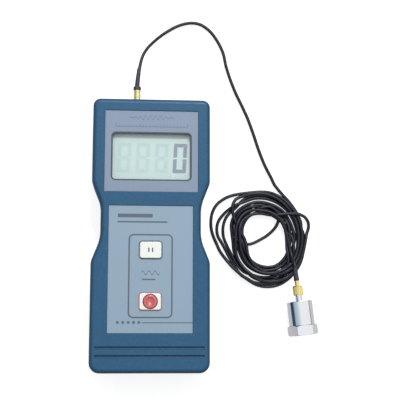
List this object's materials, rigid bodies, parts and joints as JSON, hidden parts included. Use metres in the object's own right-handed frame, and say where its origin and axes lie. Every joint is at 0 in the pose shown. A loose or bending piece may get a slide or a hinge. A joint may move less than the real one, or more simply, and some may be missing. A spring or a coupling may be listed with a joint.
{
  "type": "handheld vibration meter",
  "caption": "Handheld vibration meter with a display window, sprung keys and a sliding battery cover, joined by a long thin coiled cable to a piezo probe with a hexagonal foot.",
  "frame": {"origin": "centre of the meter's flat back face, on the surface that the meter lies on", "axes": "+X to the right of the display, +Y along the case to the socket end, +Z out of the front face"},
  "size_m": [0.1375, 0.2201, 0.0289],
  "materials": {
    "case": "satin moulded plastic",
    "display_label": "printed film",
    "key_label": "printed film",
    "clear_window": "clear moulded window",
    "display_cell": "satin liquid crystal cell",
    "black_plastic": "moulded plastic",
    "reflector": "white film",
    "zebra_rubber": "conductive silicone",
    "board": "green solder mask",
    "steel": "bright steel",
    "capacitor": "sleeved can",
    "trimmer_blue": "moulded plastic",
    "trimmer_screw": "turned brass",
    "white_key": "moulded key",
    "red_key": "moulded key",
    "gold": "gold plate",
    "white_insulator": "white insulator",
    "wire_sleeve": "thin wire",
    "battery_can": "printed cell sleeve",
    "cable_black": "satin cable jacket",
    "probe_steel": "turned stainless steel",
    "ceramic": "fired ceramic",
    "electrode": "thin foil"
  },
  "bodies": {
    "meter": {"front_case": "case", "rear_case": "case", "display_label": "display_label", "key_label": "key_label", "lcd_window": "clear_window", "lcd_glass": "display_cell", "lcd_frame": "black_plastic", "microcontroller": "black_plastic", "amplifier_chips": "black_plastic", "converter_chip": "black_plastic", "hold_switch": "black_plastic", "power_switch": "black_plastic", "lcd_reflector": "reflector", "zebra_strips": "zebra_rubber", "main_board": "board", "chip_resistors": "board", "case_screws": "steel", "board_screws": "steel", "jack_washer": "steel", "preload_nut": "steel", "seismic_mass": "steel", "battery_springs": "steel", "battery_plates": "steel", "crystal": "steel", "capacitors": "capacitor", "trimmer_body": "trimmer_blue", "sensor_jack": "gold", "jack_contact": "gold", "jack_nut": "gold", "meter_plug": "gold", "sensor_plug": "gold", "jack_insulator": "white_insulator", "receptacle_insulator": "white_insulator", "jack_wire": "wire_sleeve", "battery_wires": "wire_sleeve", "pickup_wire": "wire_sleeve", "battery_cells": "battery_can", "plug_sleeve": "cable_black", "cable_lead": "cable_black", "cable_coil": "cable_black", "cable_tail": "cable_black", "sensor_sleeve": "cable_black", "sensor_housing": "probe_steel", "sensor_base": "probe_steel", "sensor_receptacle": "probe_steel", "piezo_discs": "ceramic", "piezo_electrode": "electrode"},
    "hold_button": {"hold_key": "white_key", "hold_plunger": "black_plastic"},
    "power_button": {"power_key": "red_key", "power_plunger": "black_plastic"},
    "battery_door": {"battery_cover": "case"},
    "coupling_nut": {"sensor_nut": "gold"},
    "trimmer": {"trimmer_rotor": "trimmer_screw"}
  },
  "joints": [
    {"name": "hold_key_press", "type": "slide", "parent": "meter", "child": "hold_button", "axis": [0, 0, -1], "range_m": [0, 0.0005], "stiffness_N_per_m": 3000},
    {"name": "power_key_press", "type": "slide", "parent": "meter", "child": "power_button", "axis": [0, 0, -1], "range_m": [0, 0.0005], "stiffness_N_per_m": 3000},
    {"name": "battery_cover_slide", "type": "slide", "parent": "meter", "child": "battery_door", "axis": [0, -1, 0], "range_m": [0, 0.0608]},
    {"name": "sensor_nut_turn", "type": "hinge", "parent": "meter", "child": "coupling_nut", "pos_m": [0.09034, -0.03237, 0.008], "axis": [-0.1132, 0.9936, 0], "continuous": true},
    {"name": "trimmer_turn", "type": "hinge", "parent": "meter", "child": "trimmer", "pos_m": [0.0134, 0.0389, 0.0115], "axis": [0, 0, 1], "range_deg": [-135, 135]}
  ]
}
